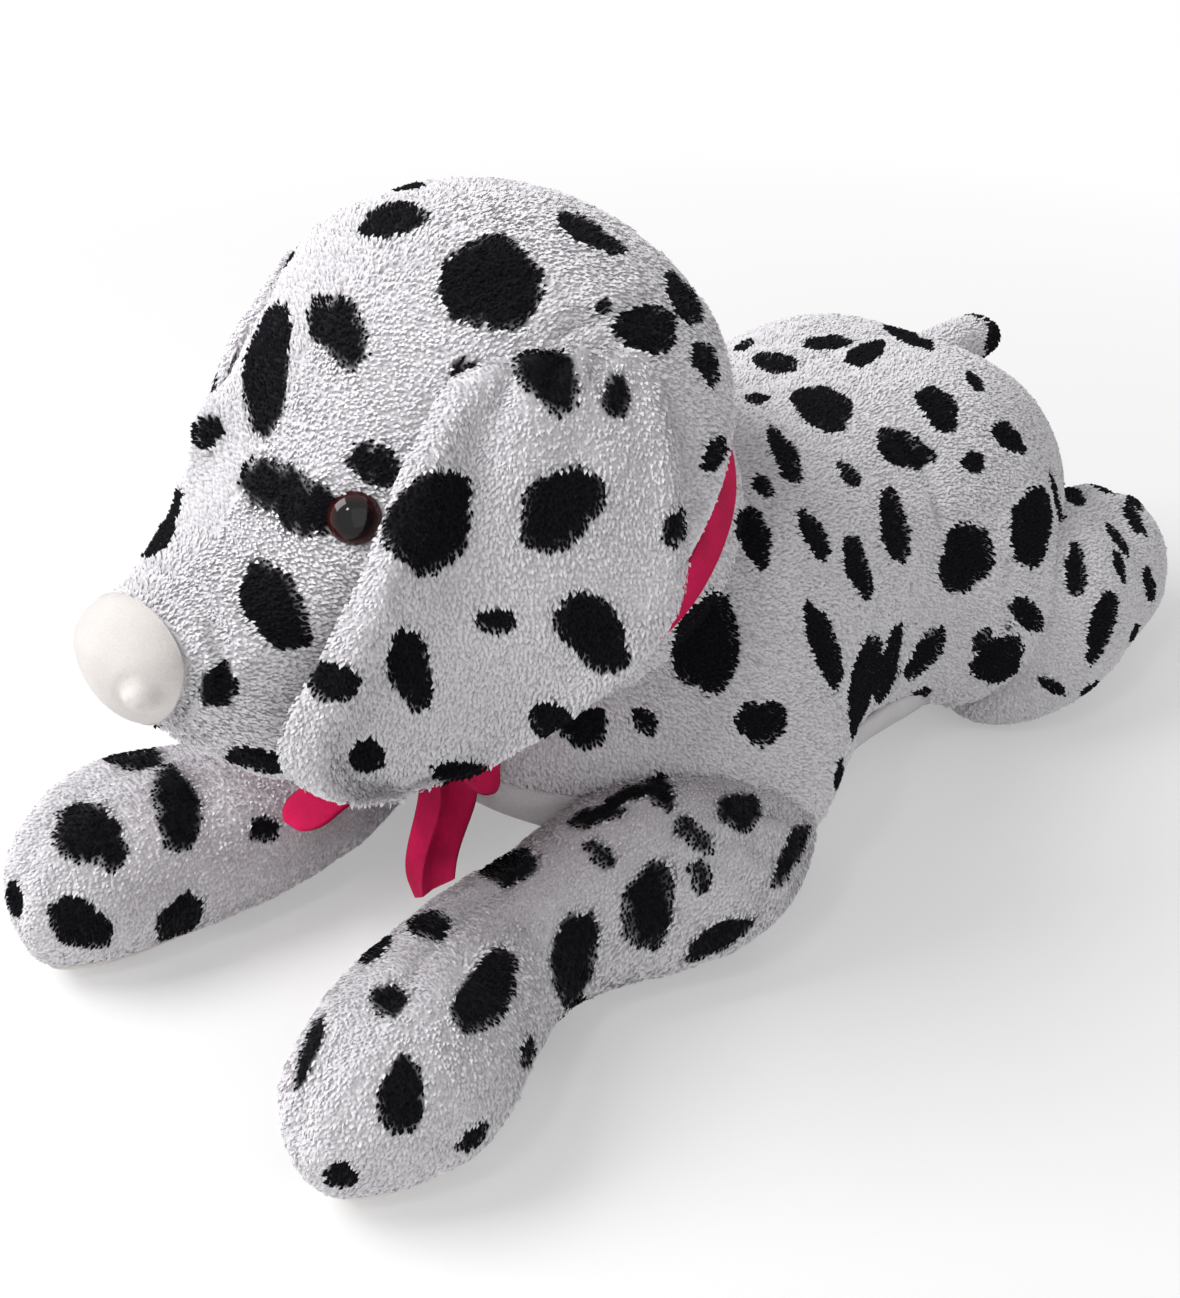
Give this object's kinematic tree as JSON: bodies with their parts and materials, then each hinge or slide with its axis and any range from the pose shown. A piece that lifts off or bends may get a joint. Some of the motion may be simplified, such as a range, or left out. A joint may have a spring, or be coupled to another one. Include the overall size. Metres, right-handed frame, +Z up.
{
  "type": "plush dog",
  "caption": "Stuffed toy dog lying on its belly, with a white pile cover spotted in black, floppy ears, safety eyes, stretched legs and a red ribbon tied round its neck.",
  "frame": {"origin": "on the floor under the middle of the torso, on the belly's flat rest face", "axes": "+Z up, the dog faces -Y, its left side is +X"},
  "size_m": [0.3, 0.633, 0.3577],
  "materials": {
    "pile": "short combed pile, white with black spots",
    "short_pile": "sheared white pile",
    "velour": "smooth cream velour",
    "fibre": "loose polyester fibre",
    "ribbon": "matt crimson ribbon",
    "eye_brown": "clear dark brown",
    "eye_black": "black",
    "washer": "natural white"
  },
  "bodies": {
    "torso": {"torso_left_cover": "pile", "torso_right_cover": "pile", "belly_panel": "short_pile", "torso_stuffing": "fibre", "neck_ribbon": "ribbon", "ribbon_knot": "ribbon", "bow_loop_left": "ribbon", "bow_loop_right": "ribbon"},
    "neck": {"stuffed_neck": "pile"},
    "head": {"face_left_cover": "pile", "face_right_cover": "pile", "head_back_cover": "pile", "nose_pad": "velour", "head_stuffing": "fibre", "left_eye_dome": "eye_brown", "left_eye_pupil": "eye_black", "left_eye_shank": "eye_black", "left_eye_washer": "washer", "right_eye_dome": "eye_brown", "right_eye_pupil": "eye_black", "right_eye_shank": "eye_black", "right_eye_washer": "washer"},
    "left_ear": {"left_ear_outer": "pile", "left_ear_lining": "short_pile"},
    "right_ear": {"right_ear_outer": "pile", "right_ear_lining": "short_pile"},
    "ribbon_end_left": {"ribbon_end_left": "ribbon"},
    "ribbon_end_right": {"ribbon_end_right": "ribbon"},
    "tail": {"tail_cover": "pile", "tail_stuffing": "fibre"},
    "left_foreleg": {"left_foreleg_outer": "pile", "left_foreleg_inner": "pile", "left_forepaw_sole": "velour", "left_foreleg_stuffing": "fibre"},
    "left_hindleg": {"left_hindleg_outer": "pile", "left_hindleg_inner": "pile", "left_hindpaw_sole": "velour", "left_hindleg_stuffing": "fibre"},
    "right_foreleg": {"right_foreleg_outer": "pile", "right_foreleg_inner": "pile", "right_forepaw_sole": "velour", "right_foreleg_stuffing": "fibre"},
    "right_hindleg": {"right_hindleg_outer": "pile", "right_hindleg_inner": "pile", "right_hindpaw_sole": "velour", "right_hindleg_stuffing": "fibre"}
  },
  "joints": [
    {"name": "head_turn", "type": "hinge", "parent": "torso", "child": "neck", "pos_m": [0, -0.154, 0.196], "axis": [0, -0.6018, 0.7986], "range_deg": [-18, 18], "stiffness_Nm_per_rad": 3},
    {"name": "head_nod", "type": "hinge", "parent": "neck", "child": "head", "pos_m": [0, -0.154, 0.196], "axis": [1, 0, 0], "range_deg": [-6, 4], "stiffness_Nm_per_rad": 4, "springref_deg": -2.58},
    {"name": "left_ear_lift", "type": "hinge", "parent": "head", "child": "left_ear", "pos_m": [0.07546, -0.21639, 0.32045], "axis": [-0.417, -0.9083, 0.0341], "range_deg": [0, 60]},
    {"name": "right_ear_lift", "type": "hinge", "parent": "head", "child": "right_ear", "pos_m": [-0.07546, -0.21639, 0.32045], "axis": [-0.417, 0.9083, -0.0341], "range_deg": [0, 60]},
    {"name": "left_foreleg_splay", "type": "hinge", "parent": "torso", "child": "left_foreleg", "pos_m": [0.096, -0.117, 0.05], "axis": [0, 0, 1], "range_deg": [-2, 20], "stiffness_Nm_per_rad": 2},
    {"name": "left_hindleg_splay", "type": "hinge", "parent": "torso", "child": "left_hindleg", "pos_m": [0.084, 0.106, 0.05], "axis": [0, 0, -1], "range_deg": [-2, 20], "stiffness_Nm_per_rad": 2},
    {"name": "right_foreleg_splay", "type": "hinge", "parent": "torso", "child": "right_foreleg", "pos_m": [-0.096, -0.117, 0.05], "axis": [0, 0, -1], "range_deg": [-2, 20], "stiffness_Nm_per_rad": 2},
    {"name": "right_hindleg_splay", "type": "hinge", "parent": "torso", "child": "right_hindleg", "pos_m": [-0.084, 0.106, 0.05], "axis": [0, 0, 1], "range_deg": [-2, 20], "stiffness_Nm_per_rad": 2},
    {"name": "tail_wag", "type": "hinge", "parent": "torso", "child": "tail", "pos_m": [0, 0.15, 0.17], "axis": [0, 0, 1], "range_deg": [-20, 20], "stiffness_Nm_per_rad": 0.2},
    {"name": "ribbon_end_left_swing", "type": "hinge", "parent": "torso", "child": "ribbon_end_left", "pos_m": [0.02, -0.23479, 0.11559], "axis": [-1, 0, 0], "range_deg": [0, 45]},
    {"name": "ribbon_end_right_swing", "type": "hinge", "parent": "torso", "child": "ribbon_end_right", "pos_m": [-0.03, -0.23479, 0.11559], "axis": [-1, 0, 0], "range_deg": [0, 20]}
  ]
}
